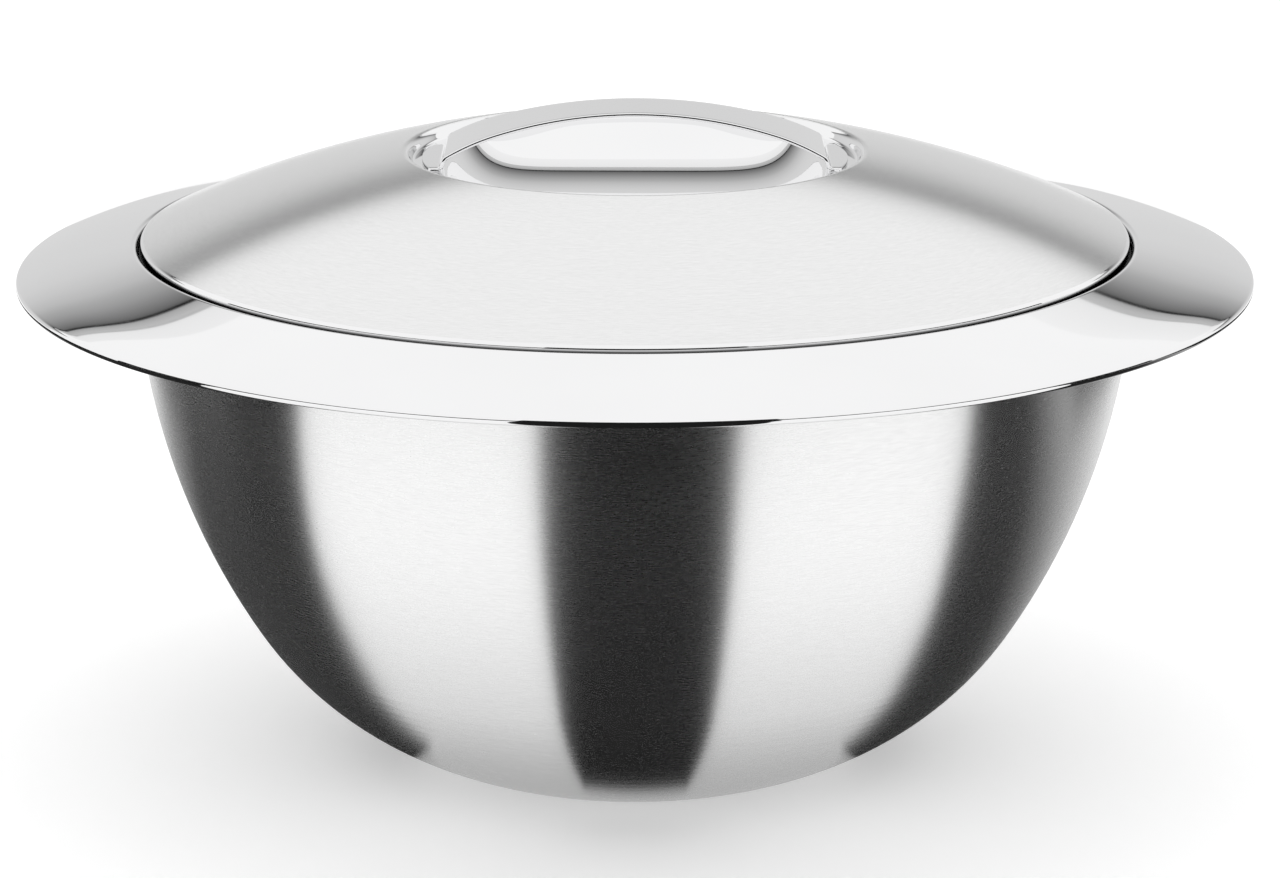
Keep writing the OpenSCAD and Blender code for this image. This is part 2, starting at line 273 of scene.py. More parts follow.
def guarded(path):
    """Adds a point beside each bend where a long straight stretch starts, so that the stretch stays flat."""
    along = np.diff(path, axis=0)
    size = np.linalg.norm(along, axis=1)
    along /= size[:, None]
    turns = np.zeros(len(path), bool)
    turns[1:-1] = (along[1:] * along[:-1]).sum(1) < math.cos(BEND)
    out = [path[0]]
    for i in range(len(size)):
        if size[i] > 4 * NEAR:
            if turns[i]:
                out.append(path[i] + NEAR * along[i])
            if turns[i + 1]:
                out.append(path[i + 1] - NEAR * along[i])
        out.append(path[i + 1])
    return np.array(out)


def meet(p, u, q, v):
    """Where the lines p + u and q + v meet."""
    left = points([-v[1], v[0]])
    return p + u * ((q - p) @ left) / (u @ left)


def walk(steps, pieces=16):
    """A path of bends (radius, turn) and straights (length,), from the middle along the first axis."""
    here, heading = points([0, 0]), 0
    path = [here[None]]
    for step in steps:
        if len(step) < 2:
            here = here + step[0] * points([math.cos(heading), math.sin(heading)])
            path.append(here[None])
            continue
        side = 1 if step[1] > 0 else -1
        centre = here + side * step[0] * points([-math.sin(heading), math.cos(heading)])
        first = heading - side * math.pi / 2
        path.append(arc(centre, step[0], first, first + step[1], pieces))
        here, heading = path[-1][-1], heading + step[1]
    return cleaned(np.vstack(path))


# Heights and radii that follow from the sizes


def plan(scene):
    bowl, brim, lid, recess = scene.bowl_sizes, scene.brim_sizes, scene.lid_sizes, scene.recess_sizes
    p = SimpleNamespace()
    p.bowl_r, p.base_r = bowl.width / 2, bowl.base_width / 2
    turn_r = p.bowl_r - bowl.upper_radius * (math.cos(bowl.wall_lean) - math.cos(bowl.turn_lean))
    p.lower_c = turn_r - bowl.lower_radius * math.cos(bowl.turn_lean)
    p.lower_z = bowl.lower_radius * math.sin(math.acos((p.base_r - p.lower_c) / bowl.lower_radius))
    turn_z = p.lower_z - bowl.lower_radius * math.sin(bowl.turn_lean)
    p.upper_c = p.bowl_r - bowl.upper_radius * math.cos(bowl.wall_lean)
    p.upper_z = turn_z + bowl.upper_radius * math.sin(bowl.turn_lean)
    p.wall_z = p.upper_z - bowl.upper_radius * math.sin(bowl.wall_lean)
    p.edge_z = p.wall_z + brim.over_wall
    p.crest_z = p.edge_z + brim.rise
    p.ledge_z = p.crest_z - brim.ledge_drop
    p.inset = bowl.sheet + bowl.wall_space + bowl.sheet
    p.floor_z = bowl.base_push + bowl.sheet + bowl.floor_space + bowl.sheet
    p.mouth_r = p.bowl_r - p.inset
    p.roll_r = brim.roll_bore + bowl.sheet
    p.step_r = p.bowl_r - bowl.sheet
    p.lid_r = p.step_r - lid.gap
    p.fold_z = p.ledge_z + lid.seat_gap
    p.lid_z = p.fold_z + lid.edge_height
    p.dome_z = p.lid_z - math.sqrt(lid.dome_radius**2 - p.lid_r**2)
    p.recess_r = recess.width / 2
    p.recess_crest_z = p.dome_z + math.sqrt(lid.dome_radius**2 - p.recess_r**2)
    p.recess_z = p.recess_crest_z - recess.depth
    p.recess_foot_r = p.recess_r - recess.depth / math.tan(recess.wall)
    p.foot_r = p.recess_foot_r - recess.fillet - scene.strap_sizes.foot_gap
    p.skirt_r = p.mouth_r - lid.skirt_gap
    p.liner_z = p.fold_z + lid.sheet - lid.skirt_height
    p.below = (p.skirt_r**2 - lid.liner_rise**2) / (2 * lid.liner_rise)
    p.liner_r = p.below + lid.liner_rise
    return p


def wall_path(scene, p, inset, z, lower_steps=22, upper_steps=20):
    bowl = scene.bowl_sizes
    lower, upper = bowl.lower_radius - inset, bowl.upper_radius - inset
    first = math.asin((z - p.lower_z) / lower)
    return np.vstack([
        arc([p.lower_c, p.lower_z], lower, first, -bowl.turn_lean, lower_steps),
        arc([p.upper_c, p.upper_z], upper, -bowl.turn_lean, -bowl.wall_lean, upper_steps)])


def slope(fall):
    """Away from a line that falls at an angle, and down along it."""
    away = points([math.sin(fall), math.cos(fall)])
    return away, points([away[1], -away[0]])


def brim_path(scene, p, steps=36):
    brim = scene.brim_sizes
    crest_out, crest_down = slope(brim.crest_fall)
    edge_out, edge_down = slope(brim.edge_fall)
    start = points([p.step_r + brim.crest_roll, p.crest_z - brim.crest_roll]) + brim.crest_roll * crest_out
    end = points([brim.width / 2 - p.roll_r, p.edge_z]) + p.roll_r * edge_out
    across = end[0] - start[0]
    a = start + brim.crest_share * across * crest_down
    b = end - brim.edge_share * across * edge_down
    t = np.linspace(0, 1, steps + 1)[:, None]
    s = 1 - t
    return s**3 * start + 3 * s**2 * t * a + 3 * s * t**2 * b + t**3 * end


# Turned rows: distance from the axis, height, lowered by the finger dish or not, satin or polished


def rows(path, dish=0.0, polish=0.0):
    return np.column_stack([points(path), np.full((len(path), 2), (dish, polish))])


def outer_rows(scene, p):
    bowl, brim = scene.bowl_sizes, scene.brim_sizes
    push_r = p.base_r - bowl.ring_width - bowl.base_push
    under = bowl.sheet + brim.seam_gap + bowl.sheet
    crest_out, flange = slope(brim.crest_fall)
    top = points([p.bowl_r, p.wall_z])
    neck = points([p.step_r + bowl.sheet + brim.neck_gap + bowl.sheet, p.ledge_z - bowl.sheet])
    bend = meet(top, neck - top, brim_path(scene, p)[0] - under * crest_out, flange)
    side = guarded(rounded([
        (bowl.fill_hole / 2, bowl.base_push), (push_r, bowl.base_push, bowl.push_round),
        (p.base_r - bowl.ring_width, 0), *wall_path(scene, p, 0, 0), (*bend, brim.flange_bend),
        bend + brim.flange * flange]))
    return rows(np.vstack([side, beside(side, bowl.sheet)[::-1], side[:1]]))


def inner_rows(scene, p):
    bowl, brim = scene.bowl_sizes, scene.brim_sizes
    inside = rounded([
        (0, p.floor_z), *wall_path(scene, p, p.inset, p.floor_z, lower_steps=14, upper_steps=14),
        (p.mouth_r + (p.ledge_z - p.wall_z) * math.tan(bowl.wall_lean), p.ledge_z, brim.ledge_roll),
        (p.step_r, p.ledge_z, brim.ledge_fillet), (p.step_r, p.crest_z - brim.crest_roll)])
    crest = arc([p.step_r + brim.crest_roll, p.crest_z - brim.crest_roll], brim.crest_roll,
                math.pi, math.pi / 2 - brim.crest_fall, steps=14)
    first = math.pi / 2 - brim.edge_fall
    roll = arc([brim.width / 2 - p.roll_r, p.edge_z], p.roll_r, first, first - brim.roll_turn, steps=26)
    side = guarded(cleaned(np.vstack([inside, crest, brim_path(scene, p)[1:-1], roll])))
    polish = (side[:, 0] > p.mouth_r + brim.ledge_roll / 2) & (side[:, 1] > p.wall_z)
    table = rows(side)
    table[:, 3] = polish
    return np.vstack([table, rows(beside(side, -bowl.sheet)[::-1])])


def cover_rows(scene, p):
    lid, recess = scene.lid_sizes, scene.recess_sizes
    crest_a = math.asin(p.recess_r / lid.dome_radius)
    edge_a = math.asin(p.lid_r / lid.dome_radius)
    dome = arc([0, p.dome_z], lid.dome_radius, math.pi / 2 - crest_a, math.pi / 2 - edge_a, steps=40)[1:-1]
    round_edge = lid.bend + lid.sheet
    flat_r = p.recess_foot_r - RINGS_END
    side = guarded(rounded([
        (flat_r, p.recess_z), (p.recess_foot_r, p.recess_z, recess.fillet),
        (p.recess_r, p.recess_crest_z, recess.crest_roll), *dome, (p.lid_r, p.lid_z, round_edge),
        (p.lid_r, p.fold_z, round_edge), (p.lid_r - lid.fold, p.fold_z)]))[1:]
    table = rows(side)
    table[:, 2] = side[:, 0] < p.recess_r
    table[:, 3] = (side[:, 0] < p.recess_r + POLISH_END) | (side[:, 0] > p.lid_r - round_edge)
    under = rows(beside(side, -lid.sheet))
    under[:, 2] = table[:, 2]
    floor = level(np.linspace(0, flat_r, FLOOR_RINGS), p.recess_z)
    return np.vstack([rows(floor, 1, 1), table, under[::-1], rows(floor[::-1] - [0, lid.sheet], 1)])


def lid_foam_rows(scene, p):
    lid, recess = scene.lid_sizes, scene.recess_sizes
    under = lid.sheet + lid.foam_gap
    inner, step = lid.foam_bore / 2, p.recess_r + recess.crest_roll
    outer = p.skirt_r - lid.skirt_roll - under
    shelf = level(np.linspace(inner, step, SHELF_ROWS), p.recess_z - under)
    x = np.linspace(step, outer, FOAM_ROWS)
    top = np.column_stack([x, p.dome_z + np.sqrt((lid.dome_radius - under)**2 - x**2)])
    x = np.linspace(outer, inner, FOAM_ROWS)
    bottom = np.column_stack([x, p.liner_z - p.below + under + np.sqrt(p.liner_r**2 - x**2)])
    return np.vstack([rows(shelf[:-1], 1), rows(shelf[-1:]), rows(top), rows(bottom), rows(shelf[:1], 1)])


def liner_rows(scene, p):
    lid = scene.lid_sizes
    half = math.asin(p.skirt_r / p.liner_r)
    dome = arc([0, p.liner_z - p.below], p.liner_r, math.pi / 2, math.pi / 2 - half, steps=30)[:-1]
    dome[0, 0] = 0
    side = guarded(rounded([
        *dome, (p.skirt_r, p.liner_z, lid.skirt_roll), (p.skirt_r, p.fold_z + lid.sheet, lid.bend),
        (p.lid_r - lid.sheet - lid.bend - lid.seat_gap, p.fold_z + lid.sheet)]))
    back = beside(side, lid.sheet)
    back[0, 0] = 0
    return np.vstack([rows(side), rows(back[::-1])])


# Node trees


def link(tree, source, target):
    """Feeds an input from another node's output, or with a plain value."""
    if isinstance(source, bpy.types.NodeSocket):
        tree.links.new(source, target)
    else:
        target.default_value = source


def fed(tree, kind, inputs=(), **settings):
    """A new node with its settings, and its inputs fed in their order or by their names."""
    node = tree.nodes.new(kind)
    for name, value in settings.items():
        setattr(node, name, value)
    for key, value in inputs.items() if isinstance(inputs, dict) else enumerate(inputs):
        link(tree, value, node.inputs[key])
    return node


def math_node(tree, operation, *values):
    return fed(tree, "ShaderNodeMath", values, operation=operation).outputs[0]


def vector_node(tree, operation, *values):
    return fed(tree, "ShaderNodeVectorMath", values, operation=operation).outputs[0]


def combine(tree, x, y, z):
    return fed(tree, "ShaderNodeCombineXYZ", (x, y, z)).outputs[0]


def turned_sheet_tree():
    """Turns a profile about the Z axis; a dish that keeps its depth towards its ends lowers some rows."""
    tree = bpy.data.node_groups.new("Turned sheet", "GeometryNodeTree")
    sizes = "Dish Half Length", "Dish Half Width", "Dish Depth", "Dish Round", "Dish Fullness", "Sharp Above"
    for name, kind in (("Profile", "Geometry"), ("Turns", "Int"), *((size, "Float") for size in sizes),
                       ("Satin", "Material"), ("Polished", "Material")):
        tree.interface.new_socket(name=name, in_out="INPUT", socket_type="NodeSocket" + kind)
    tree.interface.new_socket(name="Sheet", in_out="OUTPUT", socket_type="NodeSocketGeometry")
    given = tree.nodes.new("NodeGroupInput").outputs

    do = partial(math_node, tree)

    def sampled(value, kind):
        inputs = {"Geometry": given["Profile"], "Value": value, "Index": row}
        return fed(tree, "GeometryNodeSampleIndex", inputs, data_type=kind, domain="POINT").outputs["Value"]

    def changed(kind, sheet, inputs=None, **settings):
        return fed(tree, "GeometryNode" + kind, {"Geometry": sheet, **(inputs or {})}, **settings).outputs[0]

    def named(name):
        node = fed(tree, "GeometryNodeInputNamedAttribute", {"Name": name}, data_type="FLOAT")
        return node.outputs["Attribute"]

    # A grid with a row for each point of the profile, and where each of its points goes
    size = fed(tree, "GeometryNodeAttributeDomainSize", {"Geometry": given["Profile"]}, component="MESH")
    columns = do("ADD", given["Turns"], 1.0)
    grid = fed(tree, "GeometryNodeMeshGrid", {
        "Vertices X": size.outputs["Point Count"], "Vertices Y": columns})
    index = tree.nodes.new("GeometryNodeInputIndex").outputs["Index"]
    row = do("FLOOR", do("DIVIDE", do("ADD", index, 0.5), columns))
    column = do("SUBTRACT", index, do("MULTIPLY", row, columns))
    at = sampled(tree.nodes.new("GeometryNodeInputPosition").outputs["Position"], "FLOAT_VECTOR")
    across, _, height = fed(tree, "ShaderNodeSeparateXYZ", (at,)).outputs
    turn = do("MULTIPLY", do("DIVIDE", column, given["Turns"]), 2 * math.pi)
    x, y = do("MULTIPLY", do("COSINE", turn), across), do("MULTIPLY", do("SINE", turn), across)

    # The dish's depth before its mouth is rounded, and then with the mouth as a parabola
    ends = do("POWER", do("DIVIDE", do("ABSOLUTE", x), given["Dish Half Length"]), given["Dish Fullness"])
    sides = do("POWER", do("DIVIDE", do("ABSOLUTE", y), given["Dish Half Width"]), 2.0)
    depth = do("MULTIPLY", given["Dish Depth"], do("SUBTRACT", 1.0, do("ADD", ends, sides)))
    near = do("DIVIDE", do("ADD", depth, given["Dish Round"]), do("MULTIPLY", given["Dish Round"], 2.0))
    near = do("MINIMUM", do("MAXIMUM", near, 0.0), 1.0)
    mouth = do("MULTIPLY", given["Dish Round"], do("MULTIPLY", near, near))
    rest = do("MAXIMUM", do("SUBTRACT", depth, given["Dish Round"]), 0.0)
    lowered = do("SUBTRACT", height, do("MULTIPLY", sampled(named("dish"), "FLOAT"), do("ADD", mouth, rest)))

    sheet = changed("StoreNamedAttribute", grid.outputs["Mesh"], {
        "Name": "polish", "Value": sampled(named("polish"), "FLOAT")}, data_type="FLOAT", domain="POINT")
    sheet = changed("SetPosition", sheet, {"Position": combine(tree, x, y, lowered)})
    sheet = changed("MergeByDistance", sheet, {"Distance": 2 * SAME})
    sheet = changed("SetShadeSmooth", sheet)
    bend = tree.nodes.new("GeometryNodeInputMeshEdgeAngle").outputs["Unsigned Angle"]
    sheet = changed("SetShadeSmooth", sheet, {
        "Selection": do("GREATER_THAN", bend, given["Sharp Above"]), "Shade Smooth": False}, domain="EDGE")
    sheet = changed("RealizeInstances", sheet)
    sheet = changed("SetMaterial", sheet, {"Material": given["Satin"]})
    sheet = changed("SetMaterial", sheet, {
        "Material": given["Polished"], "Selection": do("GREATER_THAN", named("polish"), ALL_POLISHED)})
    fed(tree, "NodeGroupOutput", {"Sheet": sheet})
    return tree


def added(name, data):
    obj = bpy.data.objects.new(name, data)
    bpy.context.scene.collection.objects.link(obj)
    return obj


def made_plain(obj):
    """The evaluated mesh of an object, in place of its modifiers."""
    graph = bpy.context.evaluated_depsgraph_get()
    mesh = bpy.data.meshes.new_from_object(obj.evaluated_get(graph))
    mesh.name = obj.name
    obj.modifiers.clear()
    obj.data = mesh


def pointed_outwards(mesh):
    """Welds what lies in one place, drops faces without area and turns all faces outwards."""
    shape = bmesh.new()
    shape.from_mesh(mesh)
    bmesh.ops.remove_doubles(shape, verts=shape.verts, dist=SAME)
    bmesh.ops.dissolve_degenerate(shape, edges=shape.edges, dist=SAME / 10)
    bmesh.ops.recalc_face_normals(shape, faces=shape.faces)
    shape.to_mesh(mesh)
    shape.free()


def turned_sheet(name, table, satin, polished):
    scene = bpy.context.scene
    recess = scene.recess_sizes
    mesh = bpy.data.meshes.new(name)
    mesh.from_pydata([(x, 0, z) for x, z, _, _ in table], [], [])
    for title, values in (("dish", table[:, 2]), ("polish", table[:, 3])):
        mesh.attributes.new(title, "FLOAT", "POINT").data.foreach_set("value", values.astype(np.float32))
    obj = added(name, mesh)
    tree = bpy.data.node_groups.get("Turned sheet") or turned_sheet_tree()
    turning = obj.modifiers.new("Turned sheet", "NODES")
    turning.node_group = tree
    settings = {
        "Turns": scene.bowl_sizes.turns, "Dish Half Length": recess.dish_length / 2,
        "Dish Half Width": recess.dish_width / 2, "Dish Depth": recess.dish_depth,
        "Dish Round": recess.dish_round, "Dish Fullness": recess.dish_fullness,
        "Sharp Above": SHARP, "Satin": satin, "Polished": polished}
    for item in tree.interface.items_tree:
        if item.name in settings:
            turning[item.identifier] = settings[item.name]
    made_plain(obj)
    pointed_outwards(obj.data)
    if len(obj.data.polygons) < len(table):
        raise RuntimeError(name + " has too few faces: its profile wasn't turned")
    return obj


# The strap, row by row along its bent path


def strap_mesh(scene, p):
    strap = scene.strap_sizes
    arch = math.asin(strap.arch_half / strap.arch)
    fold = math.asin(math.sin(arch) + (strap.fold_half - strap.arch_half) / strap.shoulder)
    half = walk([(strap.arch, -arch), (strap.shoulder, arch - fold), (strap.fold, fold - strap.leg_angle),
                 (strap.leg,), (strap.foot_bend, strap.leg_angle)])
    foot_x, foot_z = half[-1]
    tip = foot_x + (p.foot_r - foot_x) * np.sin(np.linspace(0, math.pi / 2, STRAP_TIP_ROWS + 1)[1:])
    half = guarded(np.vstack([half, level(tip, foot_z)]))
    path = np.vstack([half[::-1] * [-1, 1], half[1:]])
    path[:, 1] += p.recess_z + strap.sheet - foot_z
    along = np.gradient(path, axis=0)
    along /= np.linalg.norm(along, axis=1)[:, None]
    verts = []
    for (x, z), (along_x, along_z) in zip(path, along):
        verts += [(x + depth * along_z, y, z - depth * along_x) for y, depth in strap_ring(strap, p, x)]
    ring = len(verts) // len(path)
    faces = [(i + j, i + ring + j, i + ring + (j + 1) % ring, i + (j + 1) % ring)
             for i in range(0, len(verts) - ring, ring) for j in range(ring)]
    mesh = bpy.data.meshes.new("strap_handle")
    mesh.from_pydata(verts, [], faces)
    return mesh


def strap_ring(strap, p, x):
    """Across the strap and back under it, with rounded edges, as (side, depth)."""
    waist = strap.width / 2 + strap.waist - math.sqrt(strap.waist**2 - x**2)
    width = min(waist, math.sqrt(max(0, p.foot_r**2 - x**2)))
    r = min(strap.edge_round, width)
    top = [(y, 0) for y in np.linspace(-width + r, width - r, STRAP_COLUMNS)]
    edge = [(width - r + r * math.sin(a), r - r * math.cos(a)) for a in np.radians([22.5, 45, 67.5, 90])]
    right = edge + [(y, strap.sheet - d) for y, d in edge[::-1]]
    bottom = [(y, strap.sheet) for y, _ in top[::-1]]
    return top + right + bottom + [(-y, d) for y, d in right[::-1]]


# Finishes

# How far the painted seam shade reaches inside and outside the brim's step and inside the lid's edge, and how
# far under the top it starts
SEAM_IN, SEAM_OUT, SEAM_DROP = 0.0025, 0.0004, 0.0006
LID_SEAM_IN, LID_SEAM_DROP = 0.0004, 0.0005
# Painted shade: the seams' base colour is darkened to this share of the steel's colour
PAINTED_SEAM_SHADE = 0.08


def new_material(name):
    material = bpy.data.materials.new(name)
    material.use_nodes = True
    tree = material.node_tree
    return material, tree, tree.nodes["Principled BSDF"]


def new_steel(name):
    material, tree, steel = new_material(name)
    steel.inputs["Metallic"].default_value = 1
    return material, tree, steel


def object_place(tree):
    return tree.nodes.new("ShaderNodeTexCoord").outputs["Object"]


def shader_group(name, inputs, outputs):
    group = bpy.data.node_groups.new(name, "ShaderNodeTree")
    for title, value in inputs.items():
        socket = group.interface.new_socket(name=title, in_out="INPUT", socket_type="NodeSocketFloat")
        socket.default_value = value
    for title in outputs:
        group.interface.new_socket(name=title, in_out="OUTPUT", socket_type="NodeSocketFloat")
    return group, group.nodes.new("NodeGroupInput").outputs, group.nodes.new("NodeGroupOutput").inputs


def noise(tree, vector, scale, detail, roughness=0.5):
    return fed(tree, "ShaderNodeTexNoise", {
        "Vector": vector, "Scale": scale, "Detail": detail, "Roughness": roughness}).outputs["Fac"]


def round_axis(tree):
    """Towards the side, distance from the axis and height of the point that is shaded."""
    x, y, z = fed(tree, "ShaderNodeSeparateXYZ", (object_place(tree),)).outputs
    flat = combine(tree, x, y, 0.0)
    return flat, fed(tree, "ShaderNodeVectorMath", (flat,), operation="LENGTH").outputs["Value"], z


def brushed_grain(name):
    """Fine strokes round the Z axis, as a wheel leaves on a turned sheet."""
    group, given, out = shader_group(
        name, {"Round": 45.0, "Across": 3000.0, "Rise": 1.0}, ("Strokes", "Streaks", "Clouds"))
    flat, radius, height = round_axis(group)
    climb = math_node(group, "ADD", radius, math_node(group, "MULTIPLY", height, given["Rise"]))
    spread = fed(group, "ShaderNodeVectorMath", {
        0: vector_node(group, "NORMALIZE", flat), "Scale": given["Round"]}, operation="SCALE").outputs[0]
    fine = vector_node(group, "ADD", spread,
                       combine(group, 0.0, 0.0, math_node(group, "MULTIPLY", climb, given["Across"])))
    wide = vector_node(group, "MULTIPLY", fine, (0.35, 0.35, 0.4))
    link(group, noise(group, fine, 1.0, 2.0, 0.6), out["Strokes"])
    link(group, noise(group, wide, 1.0, 3.0, 0.6), out["Streaks"])
    link(group, noise(group, object_place(group), 14.0, 2.0), out["Clouds"])
    return group


def polished_haze(name):
    """Faint clouds and rub marks that keep a mirror finish from being perfect."""
    group, given, out = shader_group(name, {"Cloud Scale": 22.0, "Rub Scale": 900.0}, ("Haze", "Rubs"))
    coords = object_place(group)
    link(group, noise(group, coords, given["Cloud Scale"], 3.0), out["Haze"])
    squeezed = vector_node(group, "MULTIPLY", coords, (0.12, 1.0, 1.0))
    link(group, noise(group, squeezed, given["Rub Scale"], 2.0, 0.7), out["Rubs"])
    return group


def seam_shade(name):
    """Painted shade for a narrow seam round the axis, where it lies in its own shadow: a band of radii, below
    a height.
    """
    group, given, out = shader_group(
        name, {"From Radius": 0.1, "To Radius": 0.2, "Below": 0.1, "Blur": 0.0006}, ("Shade",))
    _, radius, height = round_axis(group)
    do = partial(math_node, group)
    band = do("MULTIPLY", do("GREATER_THAN", radius, given["From Radius"]),
              do("LESS_THAN", radius, given["To Radius"]))
    deep = do("DIVIDE", do("SUBTRACT", given["Below"], height), given["Blur"])
    link(group, do("MULTIPLY", band, do("MINIMUM", do("MAXIMUM", deep, 0.0), 1.0)), out["Shade"])
    return group


def group_node(tree, name, build, inputs=()):
    """A group that is built when it is first used."""
    group = bpy.data.node_groups.get(name) or build(name)
    return fed(tree, "ShaderNodeGroup", inputs, node_tree=group).outputs


def ranged(tree, value, low, high, new_low, new_high):
    return fed(tree, "ShaderNodeMapRange", (value, low, high, new_low, new_high)).outputs["Result"]


def mixed(tree, factor, first, second):
    """Two colours mixed; each is three numbers or another node's output."""
    node = fed(tree, "ShaderNodeMix", {"Factor": factor}, data_type="RGBA")
    for socket in node.inputs:
        if socket.type == "RGBA":
            value = first if socket.name == "A" else second
            link(tree, value if isinstance(value, bpy.types.NodeSocket) else (*value, 1), socket)
    return next(socket for socket in node.outputs if socket.type == "RGBA")


def patched(tree, mask, low, high, first, second):
    """One colour that turns into another where a mask goes from low to high."""
    return mixed(tree, ranged(tree, mask, low, high, 0, 1), first, second)


def shaded(rgb, factor):
    return tuple(min(1.0, c * factor) for c in rgb)


def bumped(tree, height, strength, depth, shader):
    bump = fed(tree, "ShaderNodeBump", {"Strength": strength, "Distance": depth, "Height": height})
    link(tree, bump.outputs[0], shader.inputs["Normal"])


def satin_steel(name, rgb, roughness, anisotropy, rise=1.0):
    material, tree, steel = new_steel(name)
    grain = group_node(tree, "Brushed grain", brushed_grain, {"Rise": rise})
    steel.inputs["Anisotropic"].default_value = anisotropy
    steel.inputs["Anisotropic Rotation"].default_value = 0.25
    tangent = fed(tree, "ShaderNodeTangent", direction_type="RADIAL", axis="Z")
    link(tree, tangent.outputs[0], steel.inputs["Tangent"])
    both = math_node(tree, "ADD", math_node(tree, "MULTIPLY", grain["Strokes"], 0.7),
                     math_node(tree, "MULTIPLY", grain["Streaks"], 0.3))
    link(tree, patched(tree, both, 0.3, 0.7, shaded(rgb, 0.93), shaded(rgb, 1.02)),
         steel.inputs["Base Color"])
    rough = math_node(tree, "ADD", ranged(tree, both, 0.3, 0.7, roughness - 0.007, roughness + 0.007),
                      ranged(tree, grain["Clouds"], 0.3, 0.7, -0.005, 0.005))
    link(tree, rough, steel.inputs["Roughness"])
    bumped(tree, both, 0.01, 0.0001, steel)
    return material


def bright_steel(name, rgb, low, high, seam_shade_band=None):
    """Polished steel; a seam (from radius, to radius, below height) gets painted shade, a darker base colour
    where it lies in its own shadow.
    """
    material, tree, steel = new_steel(name)
    haze = group_node(tree, "Polished haze", polished_haze)
    tone = patched(tree, haze["Haze"], 0.35, 0.65, shaded(rgb, 0.985), rgb)
    if seam_shade_band:
        # Painted shade: the seam's base colour is darkened in place of its own shadow
        shade = group_node(tree, "Seam shade", seam_shade, seam_shade_band)["Shade"]
        tone = mixed(tree, shade, tone, shaded(rgb, PAINTED_SEAM_SHADE))
    link(tree, tone, steel.inputs["Base Color"])
    marks = math_node(tree, "ADD", ranged(tree, haze["Haze"], 0.35, 0.7, low, high),
                      ranged(tree, haze["Rubs"], 0.62, 0.8, 0, 0.03))
    link(tree, marks, steel.inputs["Roughness"])
    return material


def moulded_foam(name, rgb):
    """Foam with a skin of small cells, and paler and darker patches."""
    material, tree, foam = new_material(name)
    coords = object_place(tree)
    cells = fed(tree, "ShaderNodeTexVoronoi", {"Scale": 700, "Vector": coords}).outputs["Distance"]
    patches = noise(tree, coords, 40.0, 4.0, 0.6)
    link(tree, patched(tree, patches, 0.3, 0.7, shaded(rgb, 0.86), shaded(rgb, 1.06)),
         foam.inputs["Base Color"])
    link(tree, ranged(tree, patches, 0.3, 0.7, 0.78, 0.92), foam.inputs["Roughness"])
    bumped(tree, cells, 0.5, 0.0004, foam)
    return material


def stamped_steel(name, rgb):
    """A small blank from rolled sheet: straight mill lines and a few soft stains."""
    material, tree, steel = new_steel(name)
    coords = object_place(tree)
    lines = noise(tree, vector_node(tree, "MULTIPLY", coords, (60.0, 2400.0, 60.0)), 1.0, 2.0, 0.6)
    stains = noise(tree, coords, 120.0, 3.0)
    link(tree, patched(tree, stains, 0.35, 0.7, rgb, shaded(rgb, 0.82)), steel.inputs["Base Color"])
    link(tree, ranged(tree, lines, 0.3, 0.7, 0.26, 0.4), steel.inputs["Roughness"])
    bumped(tree, lines, 0.15, 0.0001, steel)
    return material


# One operator for each piece


def place(obj, body, node, slot):
    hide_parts(node)
    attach(obj, body)


def pressed(name, rows_of, satin, bright, body, node, slot):
    """Turns a piece and puts it in the place of its CAD node."""
    scene = bpy.context.scene
    place(turned_sheet(name, rows_of(scene, plan(scene)), satin, bright), body, node, slot)


class BOWL_OT_outer_bowl(bpy.types.Operator):
    """Outer bowl: one brushed pressing with its standing ring, neck and flange"""

    bl_idname = "serving_bowl.outer_bowl"
    bl_label = "Outer Bowl"

    def execute(self, context):
        finish = context.scene.steel_finishes
        satin = satin_steel("Brushed wall", finish.wall_colour, finish.wall_roughness, anisotropy=0.85)
        pressed("outer_bowl_sheet", outer_rows, satin, satin, "bowl", "outer_bowl", "satin_steel")
        return {"FINISHED"}


class BOWL_OT_inner_bowl(bpy.types.Operator):
    """Inner bowl: one pressing with the ledge, the polished brim and its rolled edge"""

    bl_idname = "serving_bowl.inner_bowl"
    bl_label = "Inner Bowl and Brim"

    def execute(self, context):
        finish, p = context.scene.steel_finishes, plan(context.scene)
        # The brim's step and ledge get painted shade below the crest, where they lie in their own shadow
        seam_shade_band = p.step_r - SEAM_IN, p.step_r + SEAM_OUT, p.crest_z - SEAM_DROP
        satin = satin_steel("Brushed inside", finish.inside_colour, 0.32, anisotropy=0.6)
        bright = bright_steel("Polished brim", finish.bright_colour, 0.02, 0.05, seam_shade_band)
        pressed("inner_bowl_and_brim", inner_rows, satin, bright, "bowl", "inner_bowl", "polished_steel")
        return {"FINISHED"}


class BOWL_OT_lid_cover(bpy.types.Operator):
    """Lid's top sheet: brushed dome, folded edge, polished recess and scooped finger dish"""

    bl_idname = "serving_bowl.lid_cover"
    bl_label = "Lid Cover"

    def execute(self, context):
        finish, p = context.scene.steel_finishes, plan(context.scene)
        # The side of the lid's edge gets painted shade below its top, where it lies in its own shadow
        seam_shade_band = p.lid_r - LID_SEAM_IN, 1, p.lid_z - LID_SEAM_DROP
        satin = satin_steel("Brushed lid", finish.lid_colour, finish.lid_roughness, anisotropy=0.3, rise=-1.0)
        bright = bright_steel("Polished recess", finish.bright_colour, 0.015, 0.035, seam_shade_band)
        pressed("lid_top_sheet", cover_rows, satin, bright, "lid", "lid_cover", "lid_steel")
        return {"FINISHED"}


